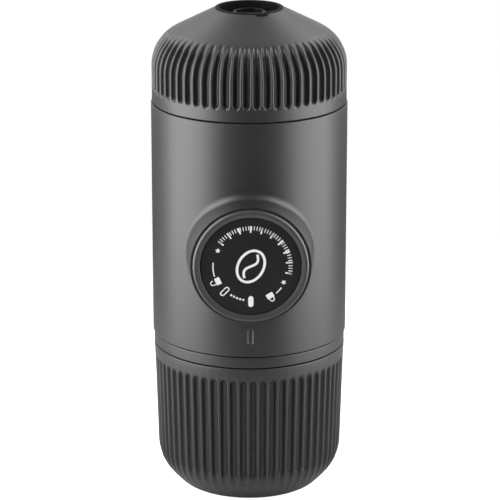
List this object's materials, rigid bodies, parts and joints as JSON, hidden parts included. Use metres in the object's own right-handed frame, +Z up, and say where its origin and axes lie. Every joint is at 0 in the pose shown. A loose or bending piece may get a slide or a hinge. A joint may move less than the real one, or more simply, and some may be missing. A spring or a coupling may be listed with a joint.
{
  "type": "handheld espresso maker",
  "caption": "Handheld manual espresso maker: cylindrical pump body with a round push knob in a flared boss, a fluted screw-on spout dome above, and a fluted cup over the water tank below.",
  "frame": {"origin": "centre of the cup's flat base, on the axis of the body", "axes": "+Z up along the body from the cup to the spout, -Y out of the pump knob, +X to the right seen from the knob's side"},
  "size_m": [0.062, 0.071, 0.1563],
  "materials": {
    "case_plastic": "fine matt texture",
    "knob_plastic": "satin",
    "dial_black": "satin, printed",
    "spout_black": "polished",
    "inner_plastic": "moulded",
    "tank_plastic": "smoky",
    "steel": "satin",
    "screw_steel": "plain",
    "spring_steel": "drawn wire",
    "silicone": "matt"
  },
  "bodies": {
    "main_body": {"body_shell": "case_plastic", "brew_head": "inner_plastic", "tank_mount": "inner_plastic", "pump_body": "inner_plastic", "knob_guide": "inner_plastic", "guide_screws": "screw_steel", "head_screws": "screw_steel", "base_screws": "screw_steel", "gland_nut": "inner_plastic", "rod_seal": "silicone", "shower_screen": "steel", "shower_screw": "screw_steel", "portafilter_gasket": "silicone", "inlet_strainer": "steel", "inlet_valve_spring": "spring_steel", "outlet_valve_spring": "spring_steel", "piston_spring": "spring_steel"},
    "inlet_valve": {"inlet_valve_ball": "steel"},
    "outlet_valve": {"outlet_valve_ball": "steel"},
    "piston": {"plunger_rod": "steel", "piston_seal": "silicone", "knob_screw": "screw_steel"},
    "knob": {"knob_shell": "knob_plastic", "knob_face": "dial_black"},
    "basket": {"filter_basket": "steel"},
    "portafilter": {"portafilter_dome": "case_plastic", "portafilter_insert": "inner_plastic", "nozzle": "spout_black", "nozzle_ring": "spout_black", "nozzle_seal": "silicone", "pressure_valve_spring": "spring_steel"},
    "relief_valve": {"pressure_valve": "steel"},
    "seal": {"tank_seal": "silicone"},
    "tank": {"water_tank": "tank_plastic", "tank_collar": "case_plastic", "cup_grip_ring": "silicone"},
    "cup": {"drinking_cup": "case_plastic"}
  },
  "joints": [
    {"name": "portafilter_lift", "type": "slide", "parent": "main_body", "child": "basket", "axis": [0, 0, 1], "range_m": [0, 0.012]},
    {"name": "portafilter_twist", "type": "hinge", "parent": "basket", "child": "portafilter", "pos_m": [0, 0, 0.13], "axis": [0, 0, 1], "range_deg": [0, 360]},
    {"name": "pressure_valve_lift", "type": "slide", "parent": "portafilter", "child": "relief_valve", "axis": [0, 0, 1], "range_m": [0, 0.001], "stiffness_N_per_m": 1000, "springref_m": -0.002, "deforming": ["pressure_valve_spring"]},
    {"name": "tank_drop", "type": "slide", "parent": "main_body", "child": "seal", "axis": [0, 0, -1], "range_m": [0, 0.012]},
    {"name": "tank_twist", "type": "hinge", "parent": "seal", "child": "tank", "pos_m": [0, 0, 0.048], "axis": [0, 0, -1], "range_deg": [0, 360]},
    {"name": "cup_pull", "type": "slide", "parent": "tank", "child": "cup", "axis": [0, 0, -1], "range_m": [0, 0.05]},
    {"name": "piston_stroke", "type": "slide", "parent": "main_body", "child": "piston", "axis": [0, -1, 0], "range_m": [0, 0.022], "deforming": ["piston_spring"]},
    {"name": "knob_twist", "type": "hinge", "parent": "piston", "child": "knob", "pos_m": [0, -0.036, 0.084], "axis": [0, -1, 0], "range_deg": [0, 45]},
    {"name": "inlet_valve_lift", "type": "slide", "parent": "main_body", "child": "inlet_valve", "axis": [0, 0, 1], "range_m": [0, 0.001], "stiffness_N_per_m": 100, "springref_m": -0.002, "deforming": ["inlet_valve_spring"]},
    {"name": "outlet_valve_lift", "type": "slide", "parent": "main_body", "child": "outlet_valve", "axis": [0, 0, 1], "range_m": [0, 0.001], "stiffness_N_per_m": 100, "springref_m": -0.002, "deforming": ["outlet_valve_spring"]}
  ],
  "couplings": [
    {"joint": "portafilter_twist", "follows": "portafilter_lift", "rad_per_m": 523.6},
    {"joint": "tank_twist", "follows": "tank_drop", "rad_per_m": 523.6}
  ]
}
